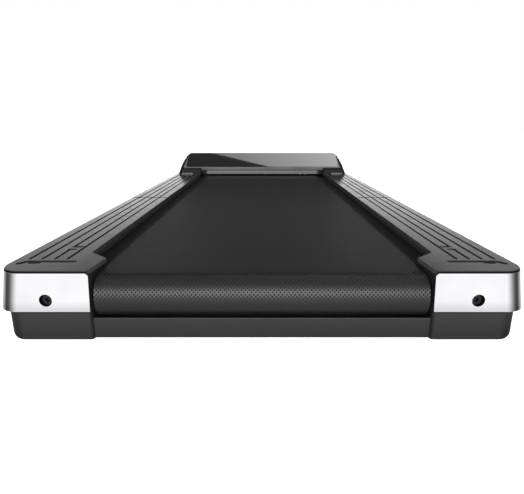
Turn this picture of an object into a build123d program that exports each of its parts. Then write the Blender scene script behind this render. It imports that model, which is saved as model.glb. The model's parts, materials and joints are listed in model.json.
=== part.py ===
"""Low treadmill: belt deck between two foot rails, with a motor hood and console at the front.

Millimetres. X runs across the treadmill, +Y forward to the motor hood and +Z up. The origin is on
the floor under the middle of the treadmill. A "station" is a distance forward from the rear plane.
"""
import math
import os

from build123d import *

# ---------------------------------------------------------------- driving dimensions
LENGTH = 1300.0             # rear plane to front plane
REAR_Y = -LENGTH / 2        # Y of the rear plane
RAIL_TOP = 88.0             # height of the foot rails
SIDE_FOOT = 36.5            # lower edge of the side panels and end caps
BASE_TOP = 36.0             # upper edge of the feet, skirts and bottom pan
BASE_OUTER = 310.0          # outer edge of the feet, skirts and bottom pan at their top
BASE_LEAN = 4.0             # how far they lean in towards the floor
BASE_BOTTOM = 0.4           # underside of the feet
SKIN = 2.5                  # wall of the moulded covers

RAIL_INNER = 226.5          # inner wall of a foot rail
RAIL_OUTER = 310.7          # outer edge of a foot rail at its top
FLARE_OUTER = 320.0         # outer edge of the side panels at their lower edge
TOP_PLATE = 3.4             # thickness of the rail tops
TOP_EDGE = 1.0              # thickness left at their edge, over the rebate
REBATE_REAR = 3.0           # depth of that rebate under the rear edge
REBATE_SIDE = 8.0           # the same under the outer edge, over the side panel's flange
PANEL_TOP = RAIL_TOP - 2.2  # upper edge of the side panels and end caps
CORNER_RADIUS = 27.0        # rounded rear corners, seen from above
RAIL_SEAM = 545.0           # station where the two lengths of rail cover meet
SEAM_GAP = 0.8
SEAM_STEP = (3.6, 0.6)      # length and depth of the step cut into both covers at the seam
RAIL_END = 1150.0           # station where the rail covers end, under the hood

TAB_INNER_REAR = 203.5      # inner edge of the rear tab at the rear plane
TAB_INNER = 198.5           # inner edge of the rear tab at its front corner
TAB_FRONT = 51.5            # station of that corner
TAB_END = 77.0              # station where the tab meets the rail's inner wall

GROOVE_OFFSETS = (293.7, 277.7, 261.7, 245.9)   # the grip grooves of a rail, outermost first
GROOVE_WIDTH = 4.0
STEP_GROOVE_WIDTH = 7.5     # short cross grooves at the step of the third groove
CROSS_GROOVE_WIDTH = 8.5
GROOVE_DEPTH = 2.2
CROSS_GROOVE_STATION = 36.7
GROOVE_START = 47.6

RAIL_WALL_LOW = 75.5        # lower edge of a rail cover's wall beside the belt, just over the deck
TAB_BOTTOM = 82.5           # lower edge of the wall round the tab
RAIL_FLANGE = (294.0, 296.5)    # wall that stiffens the outer edge of a rail cover
FLANGE_LOW = 70.0

BELT_HALF = 200.0           # half the width of the running belt
BELT_THICK = 2.0
BELT_INNER_R = 25.0         # inside radius of the belt on its rollers
RUNNING_GAP = 0.3           # gap between belts and what turns inside them
ROLLER_HALF = 201.0
ROLLER_WALL = 2.5
AXLE_R = 7.5
AXLE_HALF = 269.0
AXLE_Z = 50.0
REAR_STATION = 28.0         # rear roller axis
DRIVE_STATION = 1172.0      # drive roller axis
TENSION_TRAVEL = 8.0        # how far the rear axle slides forward when slackened

BOLT_X = 255.8              # belt tension bolts
BOLT_R = 4.0
BOLT_HOLE_Z = 50.0
ACCESS_R = 7.7              # access holes in the end caps

FRAME_INNER = 236.0         # side frame tubes
FRAME_OUTER = 268.0
FRAME_TOP = 80.0
FRAME_START = 62.0
FRAME_END = 1232.0
TUBE_WALL = 2.0

DECK_HALF = 235.0           # the deck reaches under the rail covers, up to the side frames
DECK_TOP = AXLE_Z + BELT_INNER_R - RUNNING_GAP
DECK_THICK = 18.0
DECK_START = 66.0
DECK_END = 1134.0
CROSS_TOP = 50.0
CROSS_BOTTOM = 30.0
CROSS_WIDTH = 40.0
CROSS_STATIONS = {"rear": 130.0, "middle": 560.0, "front": 1040.0}

PULLEY_R = 30.0             # drive pulley on the roller
MOTOR_PULLEY_R = 12.0
PULLEY_SPAN = (-223.0, -205.0)
DRIVE_BELT_SPAN = (-221.0, -207.0)
MOTOR_STATION = 1246.0
MOTOR_Z = 60.0
MOTOR_R = 39.0
MOTOR_SPAN = (-160.0, 10.0)

HOOD_START = 1090.0         # foot of the hood on the rails
APRON_TOP = 105.0           # height of the hood's low rear edge over each rail
HOOD_LIP = 1138.0           # where the belt dives under the hood
HOOD_BACK = (1240.0, 143.5) # station and height of the hood behind the console
HOOD_END = 1296.0
BAY_HALF = 292.0            # half the width of the wedge between the cheeks
# one cheek from behind, as (x, z): up its outer side and down its inner side
CHEEK_SECTION = ((301.0, RAIL_TOP), (299.5, 105.0), (298.0, 117.0), (293.0, 133.5), (291.0, 137.4),
                 (288.8, 139.2), (287.2, 137.6), (287.4, 134.0), (290.5, 117.0), (292.5, 105.0),
                 (292.5, RAIL_TOP))
LIP_TOP = 97.0              # satin trim round the belt's opening
LIP_BOTTOM = 84.0
LIP_WALL = 2.0
LIP_CORNER = 24.0

GLASS_HALF = 282.7
GLASS_LOW = (1140.0, 110.0)     # station and height of the console glass's lower edge
GLASS_HIGH = (1217.0, 156.0)    # the same for its upper edge
GLASS_THICK = 3.0
FRAME_DEPTH = 12.0          # depth of the console frame under the glass
GLASS_CORNERS = (6.0, 14.0) # its corner radii, lower and upper
GLASS_RUN = math.dist(GLASS_LOW, GLASS_HIGH)
SLOPE = math.atan2(GLASS_HIGH[1] - GLASS_LOW[1], GLASS_HIGH[0] - GLASS_LOW[0])

WHEEL_R = 22.0
WHEEL_STATION = 1262.0
WHEEL_X = 284.0
WHEEL_HALF = 10.0
WHEEL_Z = 25.0
WHEEL_PIN_R = 4.0

REAR_PAD_X = (225.0, 285.0)     # rubber pads under the rear feet
REAR_PAD_STATION = 72.0
FRONT_PAD = (255.0, 1140.0)     # X and station of the pads under the bottom pan
PAD_R = 14.0
PAD_THICK = 5.0

VENT_COUNT = 13             # cooling slots in the bottom pan
VENT_PITCH = 24.0

INLET = (214.0, 62.0)       # X and Z of the mains inlet in the front bumper
SWITCH = (166.0, 62.0)
RESET = (132.0, 62.0)


# ---------------------------------------------------------------- helpers
def along(station):
    """Y of a station."""
    return REAR_Y + station


def block(x, stations, z):
    """A box from three (low, high) pairs; the middle pair is in stations."""
    size = (x[1] - x[0], stations[1] - stations[0], z[1] - z[0])
    middle = (sum(x) / 2, along(sum(stations) / 2), sum(z) / 2)
    return Pos(*middle) * Box(*size)


def bar_x(radius, x, station, z):
    """A round bar along X between two X values."""
    return Pos(sum(x) / 2, along(station), z) * Rot(0, 90, 0) * Cylinder(radius, x[1] - x[0])


def bar_y(radius, x, stations, z):
    """A round bar along Y between two stations."""
    return Pos(x, along(sum(stations) / 2), z) * Rot(90, 0, 0) * Cylinder(radius, stations[1] - stations[0])


def bar_z(radius, x, station, z):
    """A round bar along Z between two heights."""
    return Pos(x, along(station), sum(z) / 2) * Cylinder(radius, z[1] - z[0])


def ring_x(outer, inner, x, station, z):
    """A round tube along X."""
    return bar_x(outer, x, station, z) - bar_x(inner, (x[0] - 1, x[1] + 1), station, z)


def prism_y(points, stations):
    """A straight prism along Y over an outline of (x, z) points."""
    face = make_face(Polyline(*[(x, along(stations[0]), z) for x, z in points], close=True))
    return extrude(face, amount=stations[1] - stations[0], dir=(0, 1, 0))


def prism_x(points, x):
    """A straight prism along X over an outline of (station, z) points."""
    face = make_face(Polyline(*[(x[0], along(s), z) for s, z in points], close=True))
    return extrude(face, amount=x[1] - x[0], dir=(1, 0, 0))


def prism_z(points, z):
    """A straight prism along Z over an outline of (x, station) points."""
    face = make_face(Polyline(*[(x, along(s), z[0]) for x, s in points], close=True))
    return extrude(face, amount=z[1] - z[0], dir=(0, 0, 1))


def box_tube(x, stations, z, axis):
    """A square steel tube along X or Y."""
    outer = block(x, stations, z)
    if axis == "x":
        return outer - block((x[0] - 1, x[1] + 1), inset(stations), inset(z))
    return outer - block(inset(x), (stations[0] - 1, stations[1] + 1), inset(z))


def inset(pair, wall=TUBE_WALL):
    """A pair drawn in by a wall at both ends."""
    return pair[0] + wall, pair[1] - wall


def flip(shape):
    """The same shape on the other side of the treadmill."""
    return mirror(shape, about=Plane.YZ)


def both(shape):
    """A shape and its mirror image."""
    return [shape, flip(shape)]


def group(shapes):
    """Separate solids kept together in one node."""
    solids = [solid for shape in shapes for solid in shape.solids()]
    return Compound(children=solids)


PARTS = {}


def add(name, shape):
    PARTS[name] = shape


def add_pair(name, right):
    """The right-hand part and its mirror image."""
    PARTS[name + "_right"] = right
    PARTS[name + "_left"] = flip(right)


# ---------------------------------------------------------------- steel frame
def side_frame():
    tube = box_tube((FRAME_INNER, FRAME_OUTER), (FRAME_START, FRAME_END), (BASE_TOP, FRAME_TOP), "y")
    axle_hole = bar_x(AXLE_R + 0.1, (FRAME_INNER - 1, FRAME_OUTER + 1), DRIVE_STATION, AXLE_Z)
    return tube - axle_hole


def crossmember(station):
    x = (-FRAME_INNER, FRAME_INNER)
    stations = (station - CROSS_WIDTH / 2, station + CROSS_WIDTH / 2)
    return box_tube(x, stations, (CROSS_BOTTOM, CROSS_TOP), "x")


def axle_slot(x):
    """The opening in which the rear axle slides, cut through a plate that spans x."""
    reach = AXLE_R + RUNNING_GAP
    stations = (REAR_STATION, REAR_STATION + TENSION_TRAVEL)
    slot = block(x, stations, (AXLE_Z - reach, AXLE_Z + reach))
    for station in stations:
        slot += bar_x(reach, x, station, AXLE_Z)
    return slot


def tension_bracket():
    """Steel channel that guides the rear axle's end and takes the tension bolt's pull."""
    inner, outer, plate = 241.0, 270.0, 3.0
    low, high = BASE_TOP, 66.0
    rear, front = 14.0, FRAME_START
    shape = block((inner, outer), (rear, rear + plate), (low, high))
    shape += block((inner, outer), (rear, front), (low, low + plate))
    for x in ((inner, inner + plate), (outer - plate, outer)):
        shape += block(x, (rear, front), (low, high))
    shape -= axle_slot((inner - 1, outer + 1))
    shape -= bar_y(BOLT_R + RUNNING_GAP, BOLT_X, (rear - 1, rear + plate + 1), BOLT_HOLE_Z)
    return shape


def motor_bracket():
    """Cradle between the side frames, with two saddles that hold the motor."""
    plate_z = (12.0, 16.0)
    stations = (1204.0, 1230.0)
    shape = block((-FRAME_INNER, FRAME_INNER), (1204, 1286), plate_z)
    for side in (-1, 1):
        x = sorted((side * (FRAME_INNER - 3), side * FRAME_INNER))
        shape += block(x, stations, (plate_z[0], FRAME_TOP - 6))
    for x in (MOTOR_SPAN[0] + 20, MOTOR_SPAN[1] - 24):
        shape += block((x, x + 4), (MOTOR_STATION - 34, MOTOR_STATION + 34), (plate_z[0], 40))
    return shape - bar_x(MOTOR_R, (MOTOR_SPAN[0] - 5, MOTOR_SPAN[1] + 5), MOTOR_STATION, MOTOR_Z)


def frame_bolts():
    """Bolts that close the drive axle's ends and hold the motor cradle to the side frames."""
    bolts = []
    for side in (-1, 1):
        head = sorted((side * AXLE_HALF, side * (AXLE_HALF + 6)))
        bolts.append(bar_x(7, head, DRIVE_STATION, AXLE_Z))
        for station in (1210, 1224):
            head = sorted((side * (FRAME_INNER - 8), side * (FRAME_INNER - 3)))
            bolts.append(bar_x(5, head, station, 58))
    return group(bolts)


# ---------------------------------------------------------------- deck and belt
def deck_board():
    board = block((-DECK_HALF, DECK_HALF), (DECK_START, DECK_END), (DECK_TOP - DECK_THICK, DECK_TOP))
    ends = board.edges().filter_by(Axis.X).group_by(Axis.Z)[-1]
    return fillet(ends, 6)


def deck_cushions():
    pads = []
    for station in CROSS_STATIONS.values():
        for x in (-170, 170):
            pads.append(bar_z(18, x, station, (CROSS_TOP, DECK_TOP - DECK_THICK)))
    return group(pads)


def running_belt():
    def loop(radius, half):
        ends = DRIVE_STATION - REAR_STATION
        middle = along((DRIVE_STATION + REAR_STATION) / 2)
        outline = SlotCenterToCenter(ends, 2 * radius)
        face = Plane((-half, middle, AXLE_Z), x_dir=(0, 1, 0), z_dir=(1, 0, 0)) * outline
        return extrude(face, amount=2 * half, dir=(1, 0, 0))
    return loop(BELT_INNER_R + BELT_THICK, BELT_HALF) - loop(BELT_INNER_R, BELT_HALF + 1)


# ---------------------------------------------------------------- rollers and drive
PLUG_SPAN = (183.0, 197.0)
BEARING_SPAN = (186.0, 195.0)
BEARING_R = 16.0
BEARING_BORE = AXLE_R + 0.05


def roller_tube(station):
    outer = BELT_INNER_R - RUNNING_GAP
    tube = ring_x(outer, outer - ROLLER_WALL, (-ROLLER_HALF, ROLLER_HALF), station, AXLE_Z)
    ends = tube.edges().filter_by(GeomType.CIRCLE).sort_by(SortBy.RADIUS)[-2:]
    return chamfer(ends, 0.8)


def roller_plugs(station):
    outer = BELT_INNER_R - RUNNING_GAP - ROLLER_WALL
    plug = ring_x(outer, BEARING_R, PLUG_SPAN, station, AXLE_Z)
    return group(both(plug))


def roller_bearings(station):
    bearing = ring_x(BEARING_R, BEARING_BORE, BEARING_SPAN, station, AXLE_Z)
    for x in BEARING_SPAN:
        groove = ring_x(13.5, 10.0, (x - 0.6, x + 0.6), station, AXLE_Z)
        bearing -= groove
    return group(both(bearing))


def rear_axle():
    axle = bar_x(AXLE_R, (-AXLE_HALF, AXLE_HALF), REAR_STATION, AXLE_Z)
    axle = chamfer(axle.edges().filter_by(GeomType.CIRCLE), 1)
    for x in (-BOLT_X, BOLT_X):
        axle -= bar_y(BOLT_R + 0.08, x, (REAR_STATION - 10, REAR_STATION + 10), AXLE_Z)
    return axle


def front_axle():
    axle = bar_x(AXLE_R, (-AXLE_HALF, AXLE_HALF), DRIVE_STATION, AXLE_Z)
    return chamfer(axle.edges().filter_by(GeomType.CIRCLE), 1)


def tension_bolt():
    """Socket-head bolt: its head bears on the bracket and its thread draws the axle back."""
    head_front = 14.0 - RUNNING_GAP
    head = bar_y(6.5, BOLT_X, (head_front - 8, head_front), BOLT_HOLE_Z)
    socket = Pos(BOLT_X, along(head_front - 8), BOLT_HOLE_Z) * Rot(-90, 0, 0)
    hexagon = extrude(RegularPolygon(3.0, 6, major_radius=False), amount=4)
    head -= socket * hexagon
    shank = bar_y(BOLT_R, BOLT_X, (head_front, 54), BOLT_HOLE_Z)
    tip = shank.edges().filter_by(GeomType.CIRCLE).sort_by(Axis.Y)[-1:]
    return head + chamfer(tip, 0.8)


def ribbed_pulley(radius, x, station, z, bore):
    """A pulley with shallow V grooves for the ribbed drive belt."""
    pulley = ring_x(radius, bore, x, station, z)
    for index in range(5):
        middle = DRIVE_BELT_SPAN[0] + 2.2 + 2.4 * index
        groove = ring_x(radius + 1, radius - 0.8, (middle - 0.5, middle + 0.5), station, z)
        pulley -= groove
    return pulley


def drive_pulley():
    pulley = ribbed_pulley(PULLEY_R, PULLEY_SPAN, DRIVE_STATION, AXLE_Z, AXLE_R + 1)
    pulley += ring_x(22, AXLE_R + 1, (PULLEY_SPAN[1], -ROLLER_HALF), DRIVE_STATION, AXLE_Z)
    return pulley


def drive_belt():
    """Closed ribbed belt around the drive pulley and the motor pulley."""
    def loop(gap, x):
        plane = Plane((x[0], 0, 0), x_dir=(0, 1, 0), z_dir=(1, 0, 0))
        big = Pos(along(DRIVE_STATION), AXLE_Z) * Circle(PULLEY_R + gap)
        small = Pos(along(MOTOR_STATION), MOTOR_Z) * Circle(MOTOR_PULLEY_R + gap)
        face = plane * make_hull(big.edges() + small.edges())
        return extrude(face, amount=x[1] - x[0], dir=(1, 0, 0))
    wide = (DRIVE_BELT_SPAN[0] - 1, DRIVE_BELT_SPAN[1] + 1)
    return loop(RUNNING_GAP + 3, DRIVE_BELT_SPAN) - loop(RUNNING_GAP, wide)


def motor_body():
    can = ring_x(MOTOR_R, MOTOR_R - 4, MOTOR_SPAN, MOTOR_STATION, MOTOR_Z)
    rims = can.edges().filter_by(GeomType.CIRCLE).sort_by(SortBy.RADIUS)[-2:]
    return fillet(rims, 1)


def motor_end_bells():
    """The motor's two end covers, each with a bearing seat around the shaft."""
    bells = []
    for low, high in ((MOTOR_SPAN[0] - 10, MOTOR_SPAN[0]), (MOTOR_SPAN[1], MOTOR_SPAN[1] + 10)):
        bell = ring_x(MOTOR_R, 5.4, (low, high), MOTOR_STATION, MOTOR_Z)
        for index in range(6):
            angle = math.radians(60 * index)
            station = MOTOR_STATION + 26 * math.cos(angle)
            z = MOTOR_Z + 26 * math.sin(angle)
            bell -= bar_x(5, (low - 1, high + 1), station, z)
        bells.append(bell)
    return group(bells)


def motor_rotor():
    """Shaft with the armature on it."""
    shaft = bar_x(5, (-226, MOTOR_SPAN[1] + 14), MOTOR_STATION, MOTOR_Z)
    armature = bar_x(29, (MOTOR_SPAN[0] + 18, MOTOR_SPAN[1] - 40), MOTOR_STATION, MOTOR_Z)
    commutator = bar_x(15, (MOTOR_SPAN[1] - 36, MOTOR_SPAN[1] - 12), MOTOR_STATION, MOTOR_Z)
    return shaft + armature + commutator


def motor_flywheel():
    wheel = ring_x(32, 5, (-194, -176), MOTOR_STATION, MOTOR_Z)
    wheel -= ring_x(25, 11, (-195, -188), MOTOR_STATION, MOTOR_Z)
    return wheel


def motor_pulley():
    return ribbed_pulley(MOTOR_PULLEY_R, (-224, -204), MOTOR_STATION, MOTOR_Z, 5)


# ---------------------------------------------------------------- electrics
BOARD_X = (40.0, 185.0)


def control_board():
    """Motor controller: a circuit board with its larger components."""
    shape = block(BOARD_X, (1208, 1262), (22, 24))
    for x in (52, 92, 132):
        shape += bar_z(9, x, 1224, (24, 52))
    shape += block((148, 178), (1214, 1240), (24, 46))
    shape += block((44, 84), (1244, 1258), (24, 38))
    shape += block((92, 130), (1246, 1258), (24, 32))
    for x in (44, 181):
        for station in (1212, 1258):
            shape += bar_z(3, x, station, (16, 22))
    return shape


def heat_sink():
    shape = block(BOARD_X, (1264, 1267), (16, 54))
    for index in range(16):
        x = BOARD_X[0] + 2 + 9.2 * index
        shape += block((x, x + 2), (1266, 1278), (16, 54))
    return shape


def socket_cutout(centre, size, stations):
    x, z = centre
    width, height = size
    return block((x - width / 2, x + width / 2), stations, (z - height / 2, z + height / 2))


def power_inlet():
    """Mains inlet: a flanged socket with three contact blades."""
    shape = socket_cutout(INLET, (28, 21), (1270, 1297.5))
    shape += socket_cutout(INLET, (34, 27), (1300 - 2.5, 1300))
    shape -= socket_cutout(INLET, (24, 17), (1280, 1301))
    for x, z in ((-7, -2), (7, -2), (0, 4)):
        shape += socket_cutout((INLET[0] + x, INLET[1] + z), (2, 4), (1279, 1292))
    return shape


SWITCH_SIZE = (21.0, 17.0)
ROCKER_AXIS = 1292.0


def power_switch():
    """Rocker: a shallow V-shaped cap that tips about a level axis along X."""
    width, height = SWITCH_SIZE[0] - 2, SWITCH_SIZE[1] - 5
    x, z = SWITCH
    outline = [(ROCKER_AXIS, z - height / 2), (1300, z - height / 2), (1298, z),
               (1298, z + height / 2), (ROCKER_AXIS, z + height / 2)]
    cap = prism_x(outline, (x - width / 2, x + width / 2))
    pin = bar_x(1.5, (x - SWITCH_SIZE[0] / 2 - 1, x + SWITCH_SIZE[0] / 2 + 1), ROCKER_AXIS + 1.5, z)
    return cap + pin


def reset_button():
    x, z = RESET
    button = bar_y(4.0, x, (1285, LENGTH), z)
    button = fillet(button.edges().filter_by(GeomType.CIRCLE).sort_by(Axis.Y)[-1:], 1)
    return button + bar_y(6.0, x, (1285, 1288), z)


# ---------------------------------------------------------------- rear end
def base_section(inner):
    """Outline of a foot across the treadmill: it leans in and rounds under towards the floor."""
    round_width, round_height, steps = 19.0, 10.0, 8
    foot_x = base_outer_at(BASE_BOTTOM + round_height)
    outline = [(inner, BASE_TOP), (inner, BASE_BOTTOM)]
    for step in range(steps + 1):
        angle = math.pi / 2 * step / steps
        x = foot_x - round_width * (1 - math.sin(angle))
        z = BASE_BOTTOM + round_height * (1 - math.cos(angle))
        outline.append((x, z))
    return outline + [(BASE_OUTER, BASE_TOP)]


def base_outer_at(z):
    """X of the leaning outer side of the feet and skirts at a height."""
    return BASE_OUTER - BASE_LEAN * (BASE_TOP - z) / (BASE_TOP - BASE_BOTTOM)


def rear_foot():
    """Dark foot below an end cap, with a wall that closes the roller's end."""
    end, corner_radius, inner_radius = 110.0, 24.0, 4.0
    plan = prism_z([(TAB_INNER_REAR, 0), (BASE_OUTER, 0), (BASE_OUTER, end), (TAB_INNER_REAR, end)],
                   (0, BASE_TOP + 1))
    corners = plan.edges().filter_by(Axis.Z).group_by(Axis.Y)[0].sort_by(Axis.X)
    plan = fillet(corners[1:], corner_radius)
    corners = plan.edges().filter_by(Axis.Z).group_by(Axis.Y)[0].sort_by(Axis.X)
    plan = fillet(corners[:1], inner_radius)
    foot = prism_y(base_section(TAB_INNER_REAR), (0, end)) & plan
    wall = block((TAB_INNER_REAR, TAB_INNER_REAR + SKIN), (inner_radius, 60), (BASE_TOP - 1, TAB_BOTTOM - 1))
    foot += wall - axle_slot((TAB_INNER_REAR - 1, TAB_INNER_REAR + SKIN + 1))
    for x in REAR_PAD_X:
        foot -= bar_z(PAD_R + RUNNING_GAP, x, REAR_PAD_STATION, (0, PAD_THICK + 0.2))
    return foot


def rear_tray():
    """Channel between the feet, under the rear roller."""
    x = (-TAB_INNER_REAR, TAB_INNER_REAR)
    rear, front, floor_z, wall = 4.0, 66.0, 1.0, 3.0
    tray = block(x, (rear, rear + wall), (floor_z, 27))
    tray += block(x, (rear, front), (floor_z, floor_z + wall))
    tray += block(x, (front - wall, front), (floor_z, 20))
    top_edges = tray.edges().filter_by(Axis.X).group_by(Axis.Z)[-1]
    return fillet(top_edges, 1.2)


def flare_at(z, outer=FLARE_OUTER):
    """X of the flared outer side at a height."""
    share = (z - SIDE_FOOT) / (RAIL_TOP - SIDE_FOOT)
    return outer + (RAIL_OUTER - FLARE_OUTER) * share


def corner_form(wall, stations, z):
    """Solid of a flared rear corner, drawn in by a wall on its outer faces."""
    low, high = z
    inner_low, inner_high = (150, 150) if wall else (TAB_INNER_REAR + 1.1, TAB_INNER_REAR - 1.2)
    outline = [(inner_low, low), (flare_at(low) - wall, low),
               (flare_at(high) - wall, high), (inner_high, high)]
    form = prism_y(outline, (stations[0] + wall, stations[1]))
    rear = along(stations[0] + wall)
    corner = [edge for edge in form.edges() if abs(edge.center().Y - rear) < 0.1
              and edge.center().X > 300 and edge.bounding_box().size.Z > 5]
    return fillet(corner, CORNER_RADIUS - wall)


def end_cap():
    """Bright plate across the rear of a rail that turns the corner, with the tension bolt's hole."""
    z = (SIDE_FOOT, PANEL_TOP)
    cap = corner_form(0, (0, 60), z) - corner_form(SKIN, (0, 62), (z[0] - 1, z[1] + 1))
    notch = [(TAB_INNER_REAR - 3, PANEL_TOP + 1), (TAB_INNER_REAR - 3, PANEL_TOP - 3.6),
             (TAB_INNER_REAR - 0.5, PANEL_TOP - 3.6), (TAB_INNER_REAR + 3.5, PANEL_TOP + 1)]
    rear_wall = (-1, 5)
    cap -= prism_y(notch, rear_wall)
    return cap - bar_y(ACCESS_R, BOLT_X, rear_wall, BOLT_HOLE_Z + 1)


# ---------------------------------------------------------------- foot rails
def groove(start, end, width=GROOVE_WIDTH):
    """Cutter for a round-ended groove in the rail top between two (x, station) points."""
    z = (RAIL_TOP - GROOVE_DEPTH, RAIL_TOP + 1)
    run = math.dist(start, end)
    turn = math.degrees(math.atan2(end[1] - start[1], end[0] - start[0]))
    middle = Pos((start[0] + end[0]) / 2, along((start[1] + end[1]) / 2), sum(z) / 2)
    cut = middle * Rot(0, 0, turn) * Box(run, width, z[1] - z[0])
    for x, station in (start, end):
        cut += bar_z(width / 2, x, station, z)
    return cut


def rear_rail_cuts():
    """Grip grooves of the rear length, with the hooked cross groove and the stepped third groove."""
    outer, second, third, inner = GROOVE_OFFSETS
    far = RAIL_SEAM + 4
    cuts = [groove((x, GROOVE_START), (x, far)) for x in (outer, second, inner)]
    cuts.append(groove((third, GROOVE_START), (third, 92)))
    cuts.append(groove((third, 110), (third, far)))
    cuts.append(groove((256, 92), (third, 92), STEP_GROOVE_WIDTH))
    cuts.append(groove((252, 105), (261, 105), STEP_GROOVE_WIDTH))
    cross = CROSS_GROOVE_STATION
    cuts.append(groove((234, cross), (290.5, cross), CROSS_GROOVE_WIDTH))
    cuts.append(groove((290.5, cross), (296.5, cross - 8), CROSS_GROOVE_WIDTH))
    cuts.append(groove((276, cross - 5), (283, cross - 5), CROSS_GROOVE_WIDTH))
    return cuts


def round_rear_corner(plate, radius):
    """Rounds the outer rear corner of a rail plate."""
    upright = plate.edges().filter_by(Axis.Z)
    outer_rear = upright.group_by(Axis.Y)[0].sort_by(Axis.X)[-1:]
    return fillet(outer_rear, radius)


def seam_step():
    """Cutter for the shallow step along both sides of the seam."""
    length, depth = SEAM_STEP
    stations = (RAIL_SEAM - length, RAIL_SEAM + SEAM_GAP + length)
    return block((RAIL_INNER - 1, RAIL_OUTER), stations, (RAIL_TOP - depth, RAIL_TOP + 1))


def rail_cover_rear():
    """Rear length of a rail cover, with the tab that reaches over the roller's end."""
    edge = RAIL_OUTER - 0.8
    tab = [(TAB_INNER, TAB_FRONT), (RAIL_INNER, TAB_END), (RAIL_INNER, RAIL_SEAM)]
    inner_line = [(TAB_INNER_REAR, 0)] + tab
    outline = inner_line + [(edge, RAIL_SEAM), (edge, 0)]
    body_edge = edge - REBATE_SIDE
    body = [(TAB_INNER_REAR, REBATE_REAR)] + tab + [(body_edge, RAIL_SEAM), (body_edge, REBATE_REAR)]
    lip = round_rear_corner(prism_z(outline, (RAIL_TOP - TOP_EDGE, RAIL_TOP)), CORNER_RADIUS)
    rim = lip.edges().group_by(Axis.Z)[-1].filter_by_position(Axis.X, edge - CORNER_RADIUS - 1, edge + 1)
    cover = fillet([part for part in rim if part.center().Y < along(RAIL_SEAM - 1)], 0.6)
    under = prism_z(body, (RAIL_TOP - TOP_PLATE, RAIL_TOP - TOP_EDGE))
    cover += round_rear_corner(under, CORNER_RADIUS - REBATE_SIDE)
    wall_back = [(x + SKIN, station) for x, station in reversed(inner_line)]
    tab_wall = prism_z(inner_line + wall_back, (TAB_BOTTOM, RAIL_TOP - TOP_PLATE))
    cover += tab_wall & block((TAB_INNER - 1, edge), (REBATE_REAR, RAIL_SEAM), (TAB_BOTTOM, RAIL_TOP))
    low_wall = (RAIL_WALL_LOW, TAB_BOTTOM + 0.5)
    cover += block((RAIL_INNER, RAIL_INNER + SKIN), (TAB_END + 1, RAIL_SEAM), low_wall)
    cover += block(RAIL_FLANGE, (66, RAIL_SEAM), (FLANGE_LOW, RAIL_TOP - TOP_PLATE))
    for cut in rear_rail_cuts():
        cover -= cut
    return cover - seam_step()


def rail_cover_front():
    """Front length of a rail cover; its front end lies under the hood."""
    edge = RAIL_OUTER - 0.8
    stations = (RAIL_SEAM + SEAM_GAP, RAIL_END)
    lip = block((RAIL_INNER, edge), stations, (RAIL_TOP - TOP_EDGE, RAIL_TOP))
    rim = lip.edges().filter_by(Axis.Y).group_by(Axis.Z)[-1].sort_by(Axis.X)[-1:]
    cover = fillet(rim, 0.6)
    cover += block((RAIL_INNER, edge - REBATE_SIDE), stations, (RAIL_TOP - TOP_PLATE, RAIL_TOP - TOP_EDGE))
    cover += block((RAIL_INNER, RAIL_INNER + SKIN), stations, (RAIL_WALL_LOW, RAIL_TOP - TOP_EDGE))
    cover += block(RAIL_FLANGE, stations, (FLANGE_LOW, RAIL_TOP - TOP_PLATE))
    for x in GROOVE_OFFSETS:
        cover -= groove((x, RAIL_SEAM - 4), (x, HOOD_START + 20))
    return cover - seam_step()


def side_panel():
    """Flared outer side of a rail, with a flange that reaches in under the rail top."""
    low, high = SIDE_FOOT, PANEL_TOP
    flange, flange_thick = RAIL_OUTER - REBATE_SIDE, 1.2
    outline = [(flare_at(low) - SKIN, low), (flare_at(low), low), (flare_at(high), high), (flange, high),
               (flange, high - flange_thick), (flare_at(high) - SKIN, high - flange_thick)]
    panel = prism_y(outline, (60.5, 1229.5))
    edge = [e for e in panel.edges().filter_by(Axis.Y) if abs(e.center().X - flare_at(high)) < 0.1]
    return fillet(edge, 1.0)


def side_skirt():
    """Dark lower side between the rear foot and the bottom pan, with a flange under the side frame."""
    low_z, flange = 6.0, FRAME_OUTER - 6
    low = base_outer_at(low_z)
    outline = [(low - SKIN, low_z), (low, low_z), (BASE_OUTER, BASE_TOP), (flange, BASE_TOP),
               (flange, BASE_TOP - SKIN), (BASE_OUTER - SKIN, BASE_TOP - SKIN)]
    return prism_y(outline, (110.5, 1104.5))


# ---------------------------------------------------------------- front end
def bottom_pan():
    """Tub under the motor bay, with wells for the transport wheels."""
    def tub(wall, z):
        outline = [(-306 + wall, z[0]), (306 - wall, z[0]), (310 - wall, z[1]), (-310 + wall, z[1])]
        form = prism_y(outline, (1105 + wall, 1298 - wall))
        front = [edge for edge in form.edges() if abs(edge.center().Y - along(1298 - wall)) < 0.1
                 and edge.bounding_box().size.Z > 5]
        return fillet(front, 40 - wall)
    pan = tub(0, (4, BASE_TOP)) - tub(SKIN, (4 + SKIN, BASE_TOP + 1))
    belt_way = block((-228, 228), (1100, 1120), (18, 40))
    pan -= belt_way
    for index in range(VENT_COUNT):
        x = VENT_PITCH * (index - (VENT_COUNT - 1) / 2)
        pan -= block((x - 3, x + 3), (1150, 1195), (0, 12))
    for side in (-1, 1):
        centre = side * WHEEL_X
        pan -= block((centre - 12.5, centre + 12.5), (WHEEL_STATION - 19, WHEEL_STATION + 19), (0, 8))
        for near, far in ((-16, -13), (13, 16)):
            x = (centre + near, centre + far)
            pan += block(x, (1250, 1274), (5, 34))
            pan -= bar_x(WHEEL_PIN_R + 0.02, (x[0] - 1, x[1] + 1), WHEEL_STATION, WHEEL_Z)
        pan -= bar_z(PAD_R + RUNNING_GAP, side * FRONT_PAD[0], FRONT_PAD[1], (0, PAD_THICK + 1))
    return pan


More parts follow.
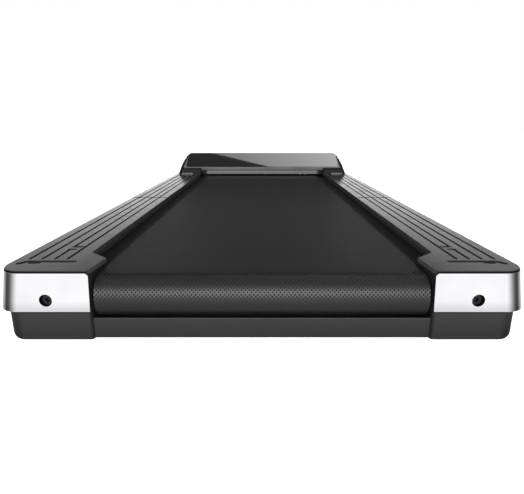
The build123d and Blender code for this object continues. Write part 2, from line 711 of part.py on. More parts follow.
def front_bumper():
    """Wrap-round front with rounded corners and the cut-outs for the electrics."""
    def form(wall, z):
        outline = [(-flare_at(z[0]) + wall, z[0]), (flare_at(z[0]) - wall, z[0]),
                   (flare_at(z[1]) - wall, z[1]), (-flare_at(z[1]) + wall, z[1])]
        shape = prism_y(outline, (1230, LENGTH - wall))
        front = [edge for edge in shape.edges() if abs(edge.center().Y - along(LENGTH - wall)) < 0.1
                 and edge.bounding_box().size.Z > 5]
        return fillet(front, 42 - wall)
    z = (SIDE_FOOT, RAIL_TOP)
    bumper = form(0, z) - form(SKIN, (z[0] - 1, z[1] - SKIN))
    bumper -= block((-296, 296), (1229, 1292), (RAIL_TOP - SKIN - 1, RAIL_TOP + 1))
    bumper -= socket_cutout(INLET, (34, 27), (1290, 1301))
    bumper -= socket_cutout(SWITCH, SWITCH_SIZE, (1290, 1301))
    bumper -= bar_y(4.4, RESET[0], (1290, 1301), RESET[1])
    for side in (-1, 1):
        x = SWITCH[0] + side * (SWITCH_SIZE[0] / 2 + 1)
        ear = block((x - 1, x + 1), (1288, 1298), (SWITCH[1] - 5, SWITCH[1] + 5))
        bumper += ear - bar_x(1.55, (x - 2, x + 2), ROCKER_AXIS + 1.5, SWITCH[1])
    collar = bar_y(9, RESET[0], (1280, 1298), RESET[1]) - bar_y(6.4, RESET[0], (1282, 1297.4), RESET[1])
    bumper += collar - bar_y(4.4, RESET[0], (1290, 1301), RESET[1])
    return bumper


def on_slope(run, rise):
    """Station and height of a point on the console: run up the slope, rise out of it."""
    station = GLASS_LOW[0] + run * math.cos(SLOPE) - rise * math.sin(SLOPE)
    return station, GLASS_LOW[1] + run * math.sin(SLOPE) + rise * math.cos(SLOPE)


def hood_form(wall):
    """Solid of the hood, drawn in by a wall: two aprons over the rails and a wedge for the console."""
    floor = RAIL_TOP - (1 if wall else 0)
    apron = [(HOOD_START + wall, floor), (HOOD_START + wall, 93), (HOOD_START + 4 + wall, APRON_TOP - wall),
             (HOOD_LIP - 2 - wall, APRON_TOP + 1 - wall), (HOOD_LIP + 2, floor)]
    low = on_slope(-2, -FRAME_DEPTH - wall)
    high = on_slope(GLASS_RUN - wall, -FRAME_DEPTH - wall)
    wedge = [(HOOD_LIP - 6 + wall, floor), (HOOD_LIP - 6 + wall, LIP_TOP + 0.5 - wall), low, high,
             (HOOD_BACK[0] - wall / 2, HOOD_BACK[1] - wall), (HOOD_END - 6 - wall, 103 - wall / 2),
             (HOOD_END - wall, floor)]
    half = BAY_HALF - 2 * wall
    form = prism_x(apron, (-half, half)) + prism_x(wedge, (-half, half))
    opening = RAIL_INNER + wall
    return form - block((-opening, opening), (HOOD_START - 1, HOOD_LIP + wall), (60, 130))


def cheek():
    """Raised blade beside the console."""
    stations = (HOOD_START, HOOD_END)
    side = [(HOOD_START, RAIL_TOP), (HOOD_START, RAIL_TOP + 3), (1184, 136.5), (1200, 140), (1236, 138.5),
            (HOOD_END - 8, 101), (HOOD_END, RAIL_TOP)]
    return prism_y(CHEEK_SECTION, stations) & prism_x(side, (280, 305))


def motor_hood():
    hood = hood_form(0) - hood_form(SKIN)
    for side in both(cheek()):
        hood += side
    return hood


def hood_lip():
    """Satin trim round the opening where the belt dives under the hood."""
    start = HOOD_START + 8
    trim = block((-RAIL_INNER, RAIL_INNER), (start, HOOD_LIP), (LIP_BOTTOM, LIP_TOP))
    half = RAIL_INNER - LIP_WALL
    inside = block((-half, half), (start - 10, HOOD_LIP - LIP_WALL), (LIP_BOTTOM - 1, LIP_TOP + 1))
    corners = inside.edges().filter_by(Axis.Z).group_by(Axis.Y)[-1]
    return trim - fillet(corners, LIP_CORNER)


def sloped_plate(points, rise, radii=None):
    """A plate on the console's slope over (x, run) points; rise is a (low, high) pair."""
    station, z = on_slope(0, rise[0])
    plane = Plane((0, along(station), z), x_dir=(1, 0, 0), z_dir=(0, -math.sin(SLOPE), math.cos(SLOPE)))
    outline = make_face(Polyline(*points, close=True))
    if radii:
        low_radius, high_radius = radii
        outline = fillet(outline.vertices().group_by(Axis.Y)[-1], high_radius)
        outline = fillet(outline.vertices().group_by(Axis.Y)[0], low_radius)
    return extrude(plane * outline, amount=rise[1] - rise[0])


def slope_box(half, run):
    """Corners of a rectangle on the slope, centred across the treadmill."""
    return [(-half, run[0]), (half, run[0]), (half, run[1]), (-half, run[1])]


def console_glass():
    return sloped_plate(slope_box(GLASS_HALF, (0, GLASS_RUN)), (-GLASS_THICK, 0), GLASS_CORNERS)


def console_frame():
    """Frame under the glass: a shallow tray on the hood's wedge, with wings that reach the cheeks."""
    outer = sloped_plate(slope_box(GLASS_HALF + 1.5, (-2, GLASS_RUN + 1)), (-FRAME_DEPTH, -1.2), (7, 15))
    seat_outline = slope_box(GLASS_HALF + 0.3, (-0.3, GLASS_RUN + 0.3))
    seat = sloped_plate(seat_outline, (-GLASS_THICK, 1), GLASS_CORNERS)
    hollow = sloped_plate(slope_box(GLASS_HALF - 10, (8, GLASS_RUN - 8)), (-FRAME_DEPTH + 2, 1), (6, 6))
    wing = sloped_plate([(283, -1), (292.1, -1), (292.1, 4), (289.2, 24), (286.2, 52), (283, 54)],
                        (-7, -GLASS_THICK))
    return outer + both(wing) - seat - hollow


def display_board():
    board = sloped_plate(slope_box(90, (20, 66)), (-7.5, -6))
    digits = sloped_plate(slope_box(60, (28, 56)), (-6, -4))
    return board + digits


def accent_strips():
    """Light bars let into the foot of the hood, over each rail."""
    strip = block((251, 290), (HOOD_START - 0.8, HOOD_START), (RAIL_TOP + 0.4, RAIL_TOP + 4))
    return group(both(strip))


# ---------------------------------------------------------------- wheels, pads and screws
def transport_wheel():
    x = (WHEEL_X - WHEEL_HALF, WHEEL_X + WHEEL_HALF)
    wheel = ring_x(WHEEL_R, WHEEL_PIN_R + 0.06, x, WHEEL_STATION, WHEEL_Z)
    rims = wheel.edges().filter_by(GeomType.CIRCLE).sort_by(SortBy.RADIUS)[-2:]
    wheel = fillet(rims, 2.5)
    for low, high in ((x[0] - 1, x[0] + 3), (x[1] - 3, x[1] + 1)):
        wheel -= ring_x(15, 8, (low, high), WHEEL_STATION, WHEEL_Z)
    return wheel


def wheel_pins():
    pin = bar_x(WHEEL_PIN_R, (WHEEL_X - 17, WHEEL_X + 17), WHEEL_STATION, WHEEL_Z)
    return group(both(pin))


def foot_pads():
    places = [(x, REAR_PAD_STATION) for x in REAR_PAD_X] + [FRONT_PAD]
    pads = []
    for x, station in places:
        pads += both(bar_z(PAD_R, x, station, (0, PAD_THICK)))
    return group(pads)


def deck_screws():
    """Screws that hold the deck board to its cross members."""
    screws = []
    for station in CROSS_STATIONS.values():
        for x in (-210, 210):
            screws.append(bar_z(3, x, station, (CROSS_TOP, DECK_TOP - DECK_THICK)))
    return group(screws)


# ---------------------------------------------------------------- assembly
add_pair("side_frame", side_frame())
for name, station in CROSS_STATIONS.items():
    add("crossmember_" + name, crossmember(station))
add_pair("tension_bracket", tension_bracket())
add("motor_bracket", motor_bracket())
add("frame_bolts", frame_bolts())
add("deck_board", deck_board())
add("deck_cushions", deck_cushions())
add("deck_screws", deck_screws())
add("running_belt", running_belt())
add("rear_axle", rear_axle())
add("rear_roller", roller_tube(REAR_STATION))
add("rear_roller_plugs", roller_plugs(REAR_STATION))
add("rear_roller_bearings", roller_bearings(REAR_STATION))
add_pair("tension_bolt", tension_bolt())
add("front_axle", front_axle())
add("drive_roller", roller_tube(DRIVE_STATION))
add("drive_roller_plugs", roller_plugs(DRIVE_STATION))
add("drive_roller_bearings", roller_bearings(DRIVE_STATION))
add("drive_pulley", drive_pulley())
add("drive_belt", drive_belt())
add("motor_body", motor_body())
add("motor_end_bells", motor_end_bells())
add("motor_rotor", motor_rotor())
add("motor_flywheel", motor_flywheel())
add("motor_pulley", motor_pulley())
add("control_board", control_board())
add("heat_sink", heat_sink())
add("display_board", display_board())
add("power_inlet", power_inlet())
add("power_switch", power_switch())
add("reset_button", reset_button())
add_pair("rear_foot", rear_foot())
add("rear_tray", rear_tray())
add_pair("end_cap", end_cap())
add_pair("rail_cover_rear", rail_cover_rear())
add_pair("rail_cover_front", rail_cover_front())
add_pair("side_panel", side_panel())
add_pair("side_skirt", side_skirt())
add("bottom_pan", bottom_pan())
add("front_bumper", front_bumper())
add("motor_hood", motor_hood())
add("hood_lip", hood_lip())
add("console_frame", console_frame())
add("console_glass", console_glass())
add("accent_strips", accent_strips())
add_pair("transport_wheel", transport_wheel())
add("wheel_pins", wheel_pins())
add("foot_pads", foot_pads())

os.makedirs("parts", exist_ok=True)
for name, shape in PARTS.items():
    export_step(shape, "parts/" + name + ".step")
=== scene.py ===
"""Looks of the low treadmill: materials, belt weave, fittings, studio and camera. Metres."""
import json
import math
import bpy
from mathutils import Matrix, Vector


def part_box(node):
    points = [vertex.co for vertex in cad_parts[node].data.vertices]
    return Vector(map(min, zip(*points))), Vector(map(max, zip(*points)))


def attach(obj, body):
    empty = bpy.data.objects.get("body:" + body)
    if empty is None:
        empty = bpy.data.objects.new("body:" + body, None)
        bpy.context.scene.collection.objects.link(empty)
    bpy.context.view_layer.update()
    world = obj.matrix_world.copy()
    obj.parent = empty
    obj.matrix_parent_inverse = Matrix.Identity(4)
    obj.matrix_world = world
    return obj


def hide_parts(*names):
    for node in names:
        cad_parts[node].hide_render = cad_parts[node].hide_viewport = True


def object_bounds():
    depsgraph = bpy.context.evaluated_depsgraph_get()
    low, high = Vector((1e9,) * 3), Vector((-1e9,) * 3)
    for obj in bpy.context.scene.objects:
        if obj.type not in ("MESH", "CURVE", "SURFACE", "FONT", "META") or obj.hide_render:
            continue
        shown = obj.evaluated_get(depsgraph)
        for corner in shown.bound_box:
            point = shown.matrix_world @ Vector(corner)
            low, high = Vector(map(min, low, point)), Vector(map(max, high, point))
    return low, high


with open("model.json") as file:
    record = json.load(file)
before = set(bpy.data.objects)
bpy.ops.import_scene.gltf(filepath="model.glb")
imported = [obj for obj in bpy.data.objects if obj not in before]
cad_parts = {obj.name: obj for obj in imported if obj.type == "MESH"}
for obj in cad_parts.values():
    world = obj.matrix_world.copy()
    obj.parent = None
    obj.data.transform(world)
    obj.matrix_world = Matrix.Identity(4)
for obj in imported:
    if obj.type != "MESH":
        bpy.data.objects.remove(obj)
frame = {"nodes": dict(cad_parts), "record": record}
cad_box = [list(corner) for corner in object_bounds()]

import bpy
from mathutils import Vector

NODES = frame["nodes"]
LOW, HIGH = (Vector(corner) for corner in cad_box)
REAR_Y = LOW.y
RAIL_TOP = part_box("rail_cover_rear_left")[1].z
PANEL_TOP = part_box("end_cap_left")[1].z
RAIL_INNER = -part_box("rail_cover_front_left")[1].x
TRIM_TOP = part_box("hood_lip")[1].z
BASE_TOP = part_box("side_skirt_left")[1].z
CAP_OUTER = -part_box("end_cap_left")[0].x
FOOT_INNER = -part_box("rear_foot_left")[1].x

WEAVE_ACROSS = 0.0049       # pitch of the tread's weave across the belt
WEAVE_ALONG = 0.0057        # and along it
BELT_THICK = 0.002
BELT_EDGE = 0.0007          # chamfer of the belt's edges

CAMERA_BACK = 0.4665        # distance of the camera behind the rear plane
CAMERA_HEIGHT = 0.2468
CAMERA_TILT = 15.57         # degrees below level
LENS = 29.2
SENSOR = 36.0

STRIP_PLACE = (0, REAR_Y - 5.0, 2.0)    # the long light behind the treadmill
STRIP_AIM = (0, REAR_Y, 0.06)
STRIP_SIZE = (5.4, 0.84)
STRIP_RADIANCE = 27.0


# ---------------------------------------------------------------- node helpers
class Shader:
    """A material's node tree, with short calls for the nodes that this scene uses."""

    def __init__(self, name):
        self.material = bpy.data.materials.new(name)
        self.material.use_nodes = True
        self.tree = self.material.node_tree
        self.surface = self.tree.nodes["Principled BSDF"]
        self.coordinates = self.tree.nodes.new("ShaderNodeTexCoord").outputs["Object"]

    def node(self, kind, **settings):
        made = self.tree.nodes.new(kind)
        for key, value in settings.items():
            setattr(made, key, value)
        return made

    def link(self, source, target):
        self.tree.links.new(source, target)

    def put(self, socket, value):
        if isinstance(value, bpy.types.NodeSocket):
            self.link(value, socket)
        else:
            socket.default_value = value

    def maths(self, operation, *values):
        made = self.node("ShaderNodeMath", operation=operation)
        for socket, value in zip(made.inputs, values):
            self.put(socket, value)
        return made.outputs[0]

    def spread(self, value, low, high, to_low=0.0, to_high=1.0):
        made = self.node("ShaderNodeMapRange", interpolation_type="SMOOTHSTEP")
        for socket, number in zip(made.inputs, (value, low, high, to_low, to_high)):
            self.put(socket, number)
        return made.outputs[0]

    def noise(self, scale, detail=2.0, stretch=(1, 1, 1), vector=None):
        mapping = self.node("ShaderNodeMapping")
        mapping.inputs["Scale"].default_value = stretch
        self.link(vector or self.coordinates, mapping.inputs["Vector"])
        made = self.node("ShaderNodeTexNoise")
        self.link(mapping.outputs[0], made.inputs["Vector"])
        made.inputs["Scale"].default_value = scale
        made.inputs["Detail"].default_value = detail
        return made.outputs["Fac"]

    def blend_colours(self, factor, first, second):
        made = self.node("ShaderNodeMix", data_type="RGBA")
        self.put(made.inputs["Factor"], factor)
        self.put(made.inputs["A"], colour(first) if isinstance(first, tuple) else first)
        self.put(made.inputs["B"], colour(second) if isinstance(second, tuple) else second)
        return made.outputs["Result"]

    def bump(self, height, distance, under=None):
        made = self.node("ShaderNodeBump")
        made.inputs["Distance"].default_value = distance
        made.inputs["Strength"].default_value = 1.0
        self.link(height, made.inputs["Height"])
        if under is not None:
            self.link(under, made.inputs["Normal"])
        return made.outputs["Normal"]

    def set(self, **values):
        for key, value in values.items():
            self.put(self.surface.inputs[key.replace("_", " ")], value)


def colour(rgb):
    return (*rgb, 1.0)


def grey(level):
    return (level, level, level * 1.02)


# ---------------------------------------------------------------- materials
def moulded(name, tint, rough, grain=0.00006, grain_scale=1600, mottle=0.08, gloss=0.5):
    """Injection-moulded plastic: a fine spark-eroded grain and a faint unevenness of colour and sheen."""
    s = Shader(name)
    clouds = s.noise(9, detail=3)
    light = tuple(c * (1 + mottle) for c in tint)
    dark = tuple(c * (1 - mottle) for c in tint)
    s.set(Base_Color=s.blend_colours(s.spread(clouds, 0.3, 0.7), dark, light))
    fine = s.noise(grain_scale, detail=2)
    patches = s.noise(60, detail=4)
    s.set(Roughness=s.spread(patches, 0.2, 0.8, rough - 0.05, rough + 0.05))
    s.set(Specular_IOR_Level=gloss)
    s.link(s.bump(fine, grain), s.surface.inputs["Normal"])
    return s


def bright_metal(name, tint, rough, stretch, lines=700, depth=0.00001):
    """Drawn or turned metal: fine lines along one direction."""
    s = Shader(name)
    s.set(Metallic=1.0)
    strokes = s.noise(lines, detail=3, stretch=stretch)
    clouds = s.noise(14, detail=2)
    dark = tuple(c * 0.9 for c in tint)
    s.set(Base_Color=s.blend_colours(s.spread(clouds, 0.3, 0.7), dark, tint))
    s.set(Roughness=s.spread(strokes, 0.25, 0.75, rough * 0.8, rough * 1.25))
    s.link(s.bump(strokes, depth), s.surface.inputs["Normal"])
    return s


def powder_coat(name, tint, rough):
    """Painted steel with the orange-peel of a powder coat."""
    s = Shader(name)
    peel = s.noise(420, detail=1)
    clouds = s.noise(12, detail=2)
    light = tuple(c * 1.25 for c in tint)
    s.set(Base_Color=s.blend_colours(s.spread(clouds, 0.3, 0.7), tint, light))
    s.set(Roughness=s.spread(clouds, 0.2, 0.8, rough - 0.05, rough + 0.07))
    s.link(s.bump(peel, 0.00012), s.surface.inputs["Normal"])
    return s


def weave():
    """Tread of the running belt: light threads crossing on the diagonal, with dark pits between them."""
    s = Shader("belt_weave")
    uv = s.node("ShaderNodeUVMap", uv_map="tread").outputs[0]
    parts = s.node("ShaderNodeSeparateXYZ")
    s.link(uv, parts.inputs[0])
    across = s.maths("COSINE", s.maths("MULTIPLY", parts.outputs["X"], 2 * math.pi / WEAVE_ACROSS))
    along = s.maths("COSINE", s.maths("MULTIPLY", parts.outputs["Y"], 2 * math.pi / WEAVE_ALONG))
    pits = s.maths("MULTIPLY", across, along)
    height = s.spread(pits, 0.0, 0.62, 1.0, 0.0)
    fuzz = s.noise(2600, detail=2, vector=uv)
    clouds = s.noise(7, detail=3, vector=uv)
    tone = s.maths("ADD", s.maths("MULTIPLY", height, 0.8), s.maths("MULTIPLY", fuzz, 0.3))
    worn = s.spread(clouds, 0.3, 0.7, 0.85, 1.1)
    s.set(Base_Color=s.blend_colours(s.maths("MULTIPLY", tone, worn), grey(0.0006), grey(0.005)))
    s.set(Roughness=s.spread(height, 0.0, 1.0, 0.85, 0.47), Specular_IOR_Level=0.55)
    s.link(s.bump(height, 0.00008, under=s.bump(fuzz, 0.00002)), s.surface.inputs["Normal"])
    return s


def rubber(name, level=0.02):
    return moulded(name, grey(level), 0.75, grain=0.00012, grain_scale=700, mottle=0.2, gloss=0.35)


def glass_panel():
    """High-gloss black acrylic with the faint long-wave ripple of a moulded sheet and a little dust."""
    s = Shader("console_gloss")
    dust = s.noise(2400, detail=1)
    specks = s.spread(dust, 0.74, 0.8)
    s.set(Base_Color=s.blend_colours(specks, grey(0.012), grey(0.03)))
    s.set(Roughness=s.spread(dust, 0.3, 0.8, 0.012, 0.03))
    ripple = s.noise(5, detail=1)
    s.link(s.bump(ripple, 0.0001), s.surface.inputs["Normal"])
    return s


def circuit():
    """Green solder mask with lighter tracks."""
    s = Shader("circuit_green")
    cells = s.node("ShaderNodeTexVoronoi", distance="MANHATTAN")
    cells.inputs["Scale"].default_value = 160
    s.link(s.coordinates, cells.inputs["Vector"])
    tracks = s.spread(cells.outputs["Distance"], 0.42, 0.5)
    s.set(Base_Color=s.blend_colours(tracks, (0.012, 0.075, 0.03), (0.06, 0.2, 0.08)), Roughness=0.35)
    s.link(s.bump(tracks, 0.00008), s.surface.inputs["Normal"])
    return s


def fibreboard():
    """Black phenolic face of the deck board with a trace of its fibres."""
    s = Shader("deck_board")
    fibres = s.noise(260, detail=4, stretch=(1, 0.12, 1))
    s.set(Base_Color=s.blend_colours(s.spread(fibres, 0.35, 0.7), grey(0.003), grey(0.006)))
    s.set(Specular_IOR_Level=0.25)
    s.set(Roughness=s.spread(fibres, 0.3, 0.7, 0.5, 0.65))
    s.link(s.bump(fibres, 0.00006), s.surface.inputs["Normal"])
    return s


def places(s):
    """Distance to the side, forward position and height of the shaded point."""
    parts = s.node("ShaderNodeSeparateXYZ")
    s.link(s.coordinates, parts.inputs[0])
    aside = s.maths("ABSOLUTE", parts.outputs["X"])
    return aside, parts.outputs["Y"], parts.outputs["Z"]


def own(s, name):
    """What the shader's input is fed by so far."""
    return s.surface.inputs[name].links[0].from_socket


def own_tint(s):
    return own(s, "Base Color")


def rail_plastic():
    """Smooth grey rail tops and inner walls; grooves, rebates and the walls' lower part are painted shade:
    near-black and rough.
    """
    s = moulded("rail_grey", grey(0.058), 0.17, grain=0.000004, mottle=0.05)
    sheen = own(s, "Roughness")
    aside, forward, height = places(s)
    # Painted shade: everything below the top face, except the inner wall's upper band, is coloured
    # near-black.
    top = s.spread(height, RAIL_TOP - 0.0004, RAIL_TOP - 0.0001)
    wall = s.maths("MULTIPLY", s.spread(aside, RAIL_INNER + 0.0018, RAIL_INNER + 0.0015),
                   s.spread(forward, REAR_Y + 0.0032, REAR_Y + 0.0034))
    wall = s.maths("MULTIPLY", wall, s.spread(height, RAIL_TOP - 0.0062, RAIL_TOP - 0.0057))
    clear_of_painted_shade = s.maths("MAXIMUM", top, wall)
    # Near-black painted shade outside the top face and the inner wall's upper band.
    s.set(Base_Color=s.blend_colours(clear_of_painted_shade, grey(0.006), own_tint(s)))
    s.set(Roughness=s.spread(clear_of_painted_shade, 0.0, 1.0, 0.85, sheen))
    return s


def cap_metal():
    """Bright brushed plate with painted shade: it darkens towards its foot above the base, and its upper
    edge and what lies inside its rear face are painted black and not metallic.
    """
    s = bright_metal("cap_silver", grey(0.97), 0.13, (1, 1, 12), lines=300, depth=0.000002)
    aside, forward, height = places(s)
    # Painted shade: the plate's colour darkens towards its lower edge above the base.
    foot = s.spread(height, BASE_TOP + 0.001, BASE_TOP + 0.016)
    s.set(Base_Color=s.blend_colours(foot, grey(0.72), own_tint(s)))
    # Painted shade: a black line along the upper edge and black faces inside the rear face, not metallic.
    edge = s.spread(height, PANEL_TOP - 0.0013, PANEL_TOP - 0.0010)
    flat_rear = s.spread(aside, CAP_OUTER - 0.037, CAP_OUTER - 0.038)
    inside = s.maths("MULTIPLY", flat_rear, s.spread(forward, REAR_Y + 0.0002, REAR_Y + 0.0004))
    dark = s.maths("MAXIMUM", edge, inside)
    s.set(Base_Color=s.blend_colours(dark, own_tint(s), grey(0.006)))
    s.set(Metallic=s.spread(dark, 0.0, 1.0, 1.0, 0.0))
    s.set(Specular_IOR_Level=0.2)
    return s


def base_plastic():
    """Dark grained plastic with painted shade: darker towards the floor, and darker and rougher in a line
    under the end caps and at the feet's inner corner.
    """
    s = moulded("base_dark", grey(0.013), 0.46, gloss=0.4)
    rough = own(s, "Roughness")
    aside, _, height = places(s)
    # Painted shade: the colour darkens towards the floor.
    clear_of_painted_shade = s.spread(height, 0.0, 0.034)
    s.set(Base_Color=s.blend_colours(clear_of_painted_shade, grey(0.005), own_tint(s)))
    # Painted shadow: a dark line just under the end caps, and a darker band at the feet's inner corner.
    seam_shadow = s.spread(height, BASE_TOP - 0.0014, BASE_TOP - 0.0010)
    corner = s.maths("MULTIPLY", s.spread(aside, FOOT_INNER - 0.0001, FOOT_INNER + 0.0001),
                     s.spread(aside, FOOT_INNER + 0.0042, FOOT_INNER + 0.0022))
    dark = s.maths("MAXIMUM", seam_shadow, s.maths("MULTIPLY", corner, 0.7))
    s.set(Base_Color=s.blend_colours(dark, own_tint(s), grey(0.003)))
    s.set(Roughness=s.spread(dark, 0.0, 1.0, rough, 0.9))
    return s


def trim_coat():
    """Satin grey coat; the belt's trim gets a darker copy of it as painted shade, which fades into
    near-black painted shade towards its ends.
    """
    s = powder_coat("trim_grey", grey(0.19), 0.38)
    aside, _, height = places(s)
    # Painted shade: a darker copy of the coat on the belt's trim, below the trim's top.
    low = s.spread(height, TRIM_TOP + 0.0002, TRIM_TOP + 0.0008, 1.0, 0.0)
    s.set(Base_Color=s.blend_colours(low, own_tint(s), grey(0.125)))
    # Painted shade: the belt's trim fades to near-black towards its ends.
    ends = s.spread(aside, RAIL_INNER - 0.0265, RAIL_INNER - 0.0175)
    s.set(Base_Color=s.blend_colours(s.maths("MULTIPLY", low, ends), own_tint(s), grey(0.008)))
    return s


def rocker():
    """Red rocker cap on a black stem."""
    s = moulded("switch_red", (0.35, 0.012, 0.01), 0.25, grain=0.00002)
    _, forward, _ = places(s)
    cap = s.spread(forward, HIGH.y - 0.0066, HIGH.y - 0.0062)
    s.set(Base_Color=s.blend_colours(cap, grey(0.008), own_tint(s)))
    return s


MATERIALS = {
    "rail_grey": rail_plastic(),
    "panel_grey": moulded("panel_grey", grey(0.10), 0.38, grain=0.00004),
    "cap_silver": cap_metal(),
    "base_dark": base_plastic(),
    "hood_black": moulded("hood_black", grey(0.004), 0.36, grain=0.00003, mottle=0.15, gloss=0.13),
    "trim_grey": trim_coat(),
    "console_gloss": glass_panel(),
    "accent_light": moulded("accent_light", grey(0.15), 0.35, mottle=0.05),
    "belt_rubber": weave(),
    "black_rubber": rubber("black_rubber"),
    "frame_paint": powder_coat("frame_paint", grey(0.018), 0.42),
    "bright_steel": bright_metal("bright_steel", (0.52, 0.52, 0.53), 0.24, (14, 1, 1)),
    "zinc_steel": bright_metal("zinc_steel", (0.55, 0.55, 0.5), 0.3, (1, 1, 1)),
    "bolt_black": bright_metal("bolt_black", (0.045, 0.045, 0.05), 0.5, (1, 1, 1), lines=400),
    "deck_board": fibreboard(),
    "motor_paint": powder_coat("motor_paint", grey(0.02), 0.35),
    "cast_alloy": bright_metal("cast_alloy", (0.5, 0.5, 0.52), 0.4, (1, 1, 1), lines=250, depth=0.00006),
    "rotor_iron": bright_metal("rotor_iron", (0.2, 0.19, 0.18), 0.35, (20, 1, 1)),
    "circuit_green": circuit(),
    "inlet_black": moulded("inlet_black", grey(0.01), 0.4),
    "switch_red": rocker(),
    "reset_white": moulded("reset_white", grey(0.6), 0.3, mottle=0.04),
    "wheel_grey": moulded("wheel_grey", grey(0.05), 0.5),
}


def dress_nodes():
    """Gives every CAD node the material of its slot."""
    slots = {part["node"]: part["material_slot"] for part in frame["record"]["subparts"]}
    for name, thing in NODES.items():
        thing.data.materials.clear()
        thing.data.materials.append(MATERIALS[slots[name]].material)


# ---------------------------------------------------------------- meshes
def new_mesh(name, vertices, faces, slot, body="frame"):
    mesh = bpy.data.meshes.new(name)
    mesh.from_pydata([tuple(v) for v in vertices], [], faces)
    mesh.validate()
    mesh.update()
    piece = bpy.data.objects.new(name, mesh)
    bpy.context.scene.collection.objects.link(piece)
    mesh.materials.append(MATERIALS[slot].material)
    mesh.shade_smooth()
    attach(piece, body)
    return piece


def running_belt():
    """Belt loop with rounded edges; its tread is laid out by distance along the loop."""
    low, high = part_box("running_belt")
    radius = (high.z - low.z) / 2
    middle_z = (high.z + low.z) / 2
    ends = (low.y + radius, high.y - radius)
    flat_steps, turn_steps = 60, 48
    path = []
    for i in range(flat_steps):
        y = ends[0] + (ends[1] - ends[0]) * i / flat_steps
        path.append((y, middle_z, 0.0, 1.0))
    for i in range(turn_steps):
        angle = math.pi / 2 - math.pi * i / turn_steps
        path.append((ends[1], middle_z, math.cos(angle), math.sin(angle)))
    for i in range(flat_steps):
        y = ends[1] - (ends[1] - ends[0]) * i / flat_steps
        path.append((y, middle_z, 0.0, -1.0))
    for i in range(turn_steps):
        angle = -math.pi / 2 - math.pi * i / turn_steps
        path.append((ends[0], middle_z, math.cos(angle), math.sin(angle)))
    half = high.x
    inner = radius - BELT_THICK
    flat_half = half - BELT_EDGE
    section = [(-flat_half, radius), (flat_half, radius), (half, radius - BELT_EDGE),
               (half, inner + BELT_EDGE), (flat_half, inner), (-flat_half, inner),
               (-half, inner + BELT_EDGE), (-half, radius - BELT_EDGE)]
    vertices = []
    for y, z, out_y, out_z in path:
        for x, reach in section:
            vertices.append((x, y + out_y * reach, z + out_z * reach))
    rows, columns = len(path), len(section)
    faces = []
    for row in range(rows):
        after = (row + 1) % rows
        for column in range(columns):
            beside = (column + 1) % columns
            faces.append((row * columns + column, row * columns + beside, after * columns + beside,
                          after * columns + column))
    belt = new_mesh("belt_tread", vertices, faces, "belt_rubber")
    mesh = belt.data
    travel = [0.0]
    for row in range(rows):
        here, there = path[row], path[(row + 1) % rows]
        first = Vector((here[0] + here[2] * radius, here[1] + here[3] * radius))
        second = Vector((there[0] + there[2] * radius, there[1] + there[3] * radius))
        travel.append(travel[-1] + (second - first).length)
    tread = mesh.uv_layers.new(name="tread")
    for polygon in mesh.polygons:
        row = polygon.index // columns
        for loop in polygon.loop_indices:
            vertex = mesh.loops[loop].vertex_index
            start = vertex // columns == row
            tread.data[loop].uv = (vertices[vertex][0], travel[row] if start else travel[row + 1])
    mesh.set_sharp_from_angle(angle=math.radians(35))
    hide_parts("running_belt")


# ---------------------------------------------------------------- studio and camera
class Sky:
    """Node tree of the world, with short calls for the few nodes it needs."""

    def __init__(self, tree):
        self.tree = tree

    def maths(self, operation, *values):
        made = self.tree.nodes.new("ShaderNodeMath")
        made.operation = operation
        for socket, value in zip(made.inputs, values):
            if isinstance(value, (int, float)):
                socket.default_value = value
            else:
                self.tree.links.new(value, socket)
        return made.outputs[0]

    def spread(self, value, low, high, to_low=0.0, to_high=1.0, smooth=True):
        made = self.tree.nodes.new("ShaderNodeMapRange")
        made.interpolation_type = "SMOOTHSTEP" if smooth else "LINEAR"
        self.tree.links.new(value, made.inputs["Value"])
        for name, number in zip(("From Min", "From Max", "To Min", "To Max"), (low, high, to_low, to_high)):
            made.inputs[name].default_value = number
        return made.outputs[0]

    def ramp(self, value, stops):
        """Piecewise linear value from (input, output) stops."""
        low, high = stops[0][0], stops[-1][0]
        peak = max(shade for place, shade in stops)
        scaled = self.spread(value, low, high, smooth=False)
        made = self.tree.nodes.new("ShaderNodeValToRGB")
        self.tree.links.new(scaled, made.inputs["Fac"])
        points = made.color_ramp.elements
        while len(points) < len(stops):
            points.new(0.5)
        for point, (place, shade) in zip(points, stops):
            point.position = (place - low) / (high - low)
            point.color = (shade / peak, shade / peak, shade / peak, 1)
        return self.maths("MULTIPLY", made.outputs["Color"], peak)

    def mix(self, factor, first, second):
        made = self.tree.nodes.new("ShaderNodeMix")
        made.data_type = "RGBA"
        self.tree.links.new(factor, made.inputs["Factor"])
        for socket, value in ((made.inputs["A"], first), (made.inputs["B"], second)):
            if isinstance(value, (int, float)):
                socket.default_value = (value, value, value, 1)
            else:
                self.tree.links.new(value, socket)
        return made.outputs["Result"]


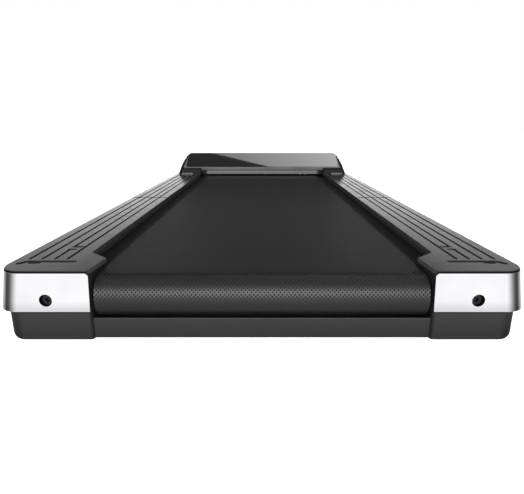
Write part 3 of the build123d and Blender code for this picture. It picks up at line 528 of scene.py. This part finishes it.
def studio():
    """A white sweep behind the treadmill's rear, soft strips and glow above its sides, a slanted softbox
    overhead and a dark ceiling. They show in reflections; the camera itself sees white."""
    scene = bpy.context.scene
    scene.view_settings.view_transform = "Standard"
    world = bpy.data.worlds.new("studio")
    scene.world = world
    world.use_nodes = True
    tree = world.node_tree
    sky = Sky(tree)
    parts = tree.nodes.new("ShaderNodeSeparateXYZ")
    tree.links.new(tree.nodes.new("ShaderNodeTexCoord").outputs["Generated"], parts.inputs[0])
    x, y, z = (parts.outputs[axis] for axis in "XYZ")
    level = sky.maths("SQRT", sky.maths("ADD", sky.maths("MULTIPLY", x, x), sky.maths("MULTIPLY", y, y)))
    forward = sky.maths("DIVIDE", y, sky.maths("MAXIMUM", level, 0.001))
    rearward = sky.maths("MULTIPLY", forward, -1.0)
    below = sky.ramp(rearward, [(-1.0, 0.6), (-0.4, 0.45), (-0.08, 0.06), (0.03, 0.05), (0.30, 0.10),
                                (0.50, 0.32), (0.66, 0.62), (0.78, 0.92), (0.86, 1.05), (1.0, 1.08)])
    below = sky.maths("MULTIPLY", below, sky.spread(z, -0.43, -0.36, 0.7, 1.0))

    height = sky.maths("MAXIMUM", z, 0.001)
    sideways = sky.maths("DIVIDE", sky.maths("ABSOLUTE", x), height)
    strips = sky.maths("MULTIPLY", sky.spread(sideways, 1.28, 1.5), sky.spread(sideways, 3.2, 2.3))
    strips = sky.maths("MULTIPLY", strips, sky.spread(forward, -0.3, 0.1))
    strip_glow = sky.ramp(z, [(0.0, 1.8), (0.13, 1.6), (0.2, 0.95), (0.25, 0.56), (0.32, 0.28), (0.6, 0.2)])
    above = sky.ramp(z, [(0.0, 1.2), (0.1, 0.9), (0.14, 0.5), (0.18, 0.26), (0.24, 0.12), (0.32, 0.04),
                         (0.6, 0.02), (1.0, 0.2)])
    above = sky.mix(strips, above, strip_glow)
    beside = sky.maths("DIVIDE", sky.maths("ABSOLUTE", x), sky.maths("MAXIMUM", level, 0.001))
    above = sky.mix(sky.spread(beside, 0.75, 0.95), above, 0.75)

    over_x = sky.maths("DIVIDE", x, height)
    over_y = sky.maths("DIVIDE", y, height)
    slant = sky.maths("ADD", over_y, sky.maths("MULTIPLY", over_x, 0.2618))
    softbox = sky.maths("MULTIPLY", sky.spread(slant, 0.4377, 0.4387), sky.spread(over_y, 0.54, 0.50))
    softbox = sky.maths("MULTIPLY", softbox, sky.spread(sky.maths("ABSOLUTE", over_x), 0.36, 0.3))
    glow = sky.spread(over_x, -0.25, 0.25, 0.9, 6.0, smooth=False)
    above = sky.mix(softbox, above, glow)

    final = sky.mix(sky.spread(z, -0.03, 0.03), below, above)
    seen = tree.nodes.new("ShaderNodeLightPath").outputs["Is Camera Ray"]
    background = tree.nodes["Background"]
    tree.links.new(sky.mix(seen, final, 1.0), background.inputs["Color"])


def area_light(name, place, aim, size, radiance):
    """A rectangular light of even brightness, seen in reflections but not by the camera."""
    light = bpy.data.lights.new(name, "AREA")
    light.shape = "RECTANGLE"
    light.size, light.size_y = size
    light.energy = radiance * math.pi * size[0] * size[1]
    holder = bpy.data.objects.new(name, light)
    bpy.context.scene.collection.objects.link(holder)
    holder.location = place
    away = Vector(place) - Vector(aim)
    holder.rotation_euler = away.to_track_quat("Z", "Y").to_euler()
    holder.visible_camera = False


def floor():
    mesh = bpy.data.meshes.new("floor")
    reach = 30.0
    mesh.from_pydata([(-reach, -reach, 0), (reach, -reach, 0), (reach, reach, 0), (-reach, reach, 0)], [],
                     [(0, 1, 2, 3)])
    ground = bpy.data.objects.new("floor", mesh)
    bpy.context.scene.collection.objects.link(ground)
    s = Shader("floor_white")
    speckle = s.noise(40, detail=3)
    s.set(Base_Color=s.blend_colours(speckle, grey(0.80), grey(0.84)), Roughness=0.9)
    s.set(Emission_Color=(1, 1, 1, 1), Emission_Strength=0.82)
    mesh.materials.append(s.material)
    ground.visible_glossy = False


def camera():
    """Stands behind the low rear end, a quarter of a metre above the floor, looking along the deck."""
    data = bpy.data.cameras.new("camera")
    data.sensor_width = SENSOR
    data.lens = LENS
    data.clip_start = 0.01
    holder = bpy.data.objects.new("camera", data)
    bpy.context.scene.collection.objects.link(holder)
    holder.location = (0.0, REAR_Y - CAMERA_BACK, CAMERA_HEIGHT)
    holder.rotation_euler = (math.radians(90 - CAMERA_TILT), 0, 0)
    bpy.context.scene.camera = holder


dress_nodes()
running_belt()
studio()
area_light("rear_strip", STRIP_PLACE, STRIP_AIM, STRIP_SIZE, STRIP_RADIANCE)
floor()
camera()
